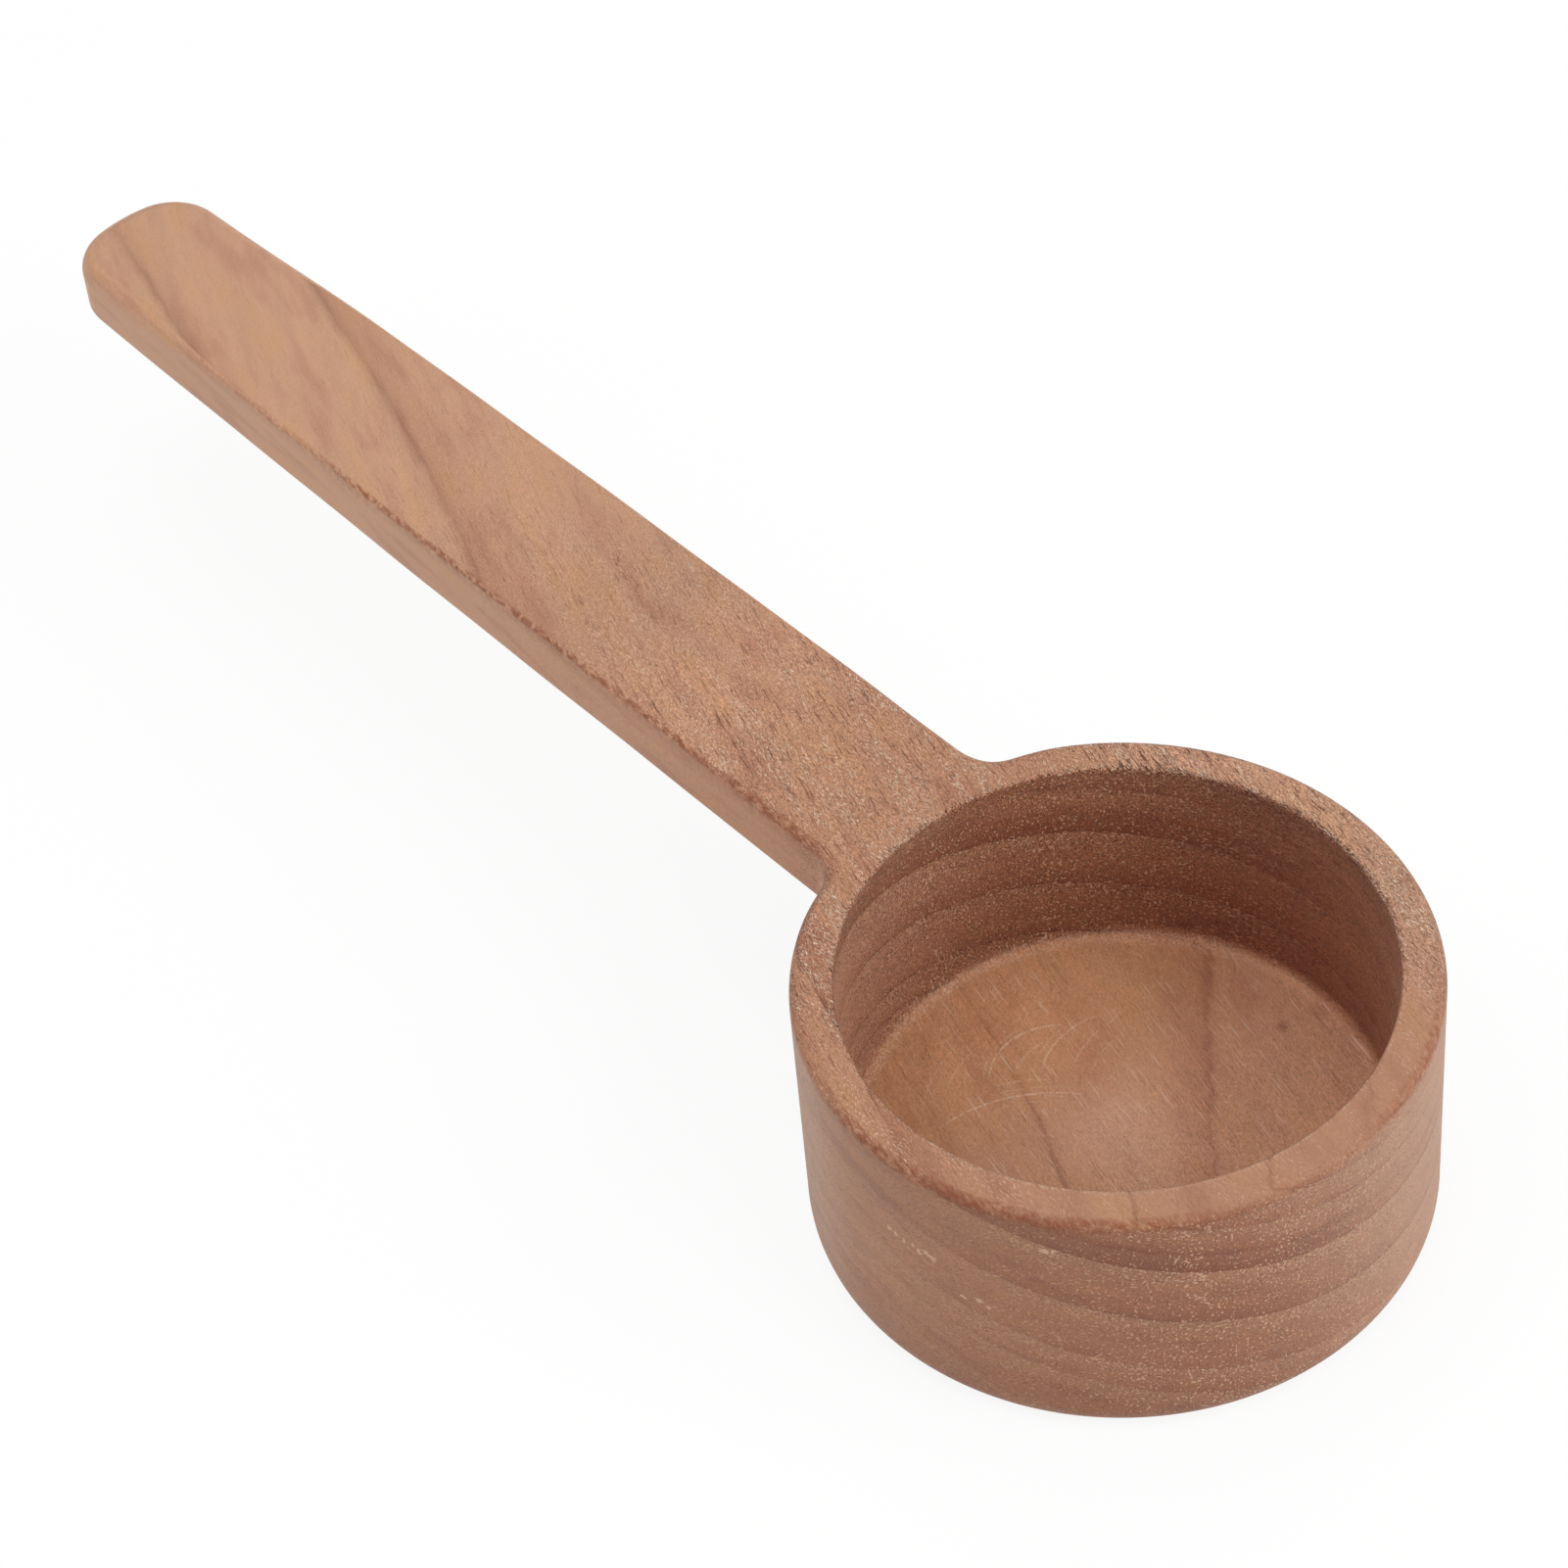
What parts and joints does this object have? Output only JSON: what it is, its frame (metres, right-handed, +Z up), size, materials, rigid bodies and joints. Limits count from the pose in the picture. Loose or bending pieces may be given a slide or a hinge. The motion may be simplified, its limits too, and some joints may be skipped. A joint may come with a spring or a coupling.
{
  "type": "measuring spoon",
  "caption": "One-piece wooden measuring spoon: a round, flat-bottomed cup with straight walls and a long flat handle level with its rim.",
  "frame": {"origin": "middle of the cup's flat underside", "axes": "+Z up along the cup's axis, +X from the cup along the handle"},
  "size_m": [0.1605, 0.051, 0.025],
  "materials": {
    "wood": "sanded bare wood, matt"
  },
  "bodies": {
    "root": {"scoop": "wood"}
  },
  "joints": []
}
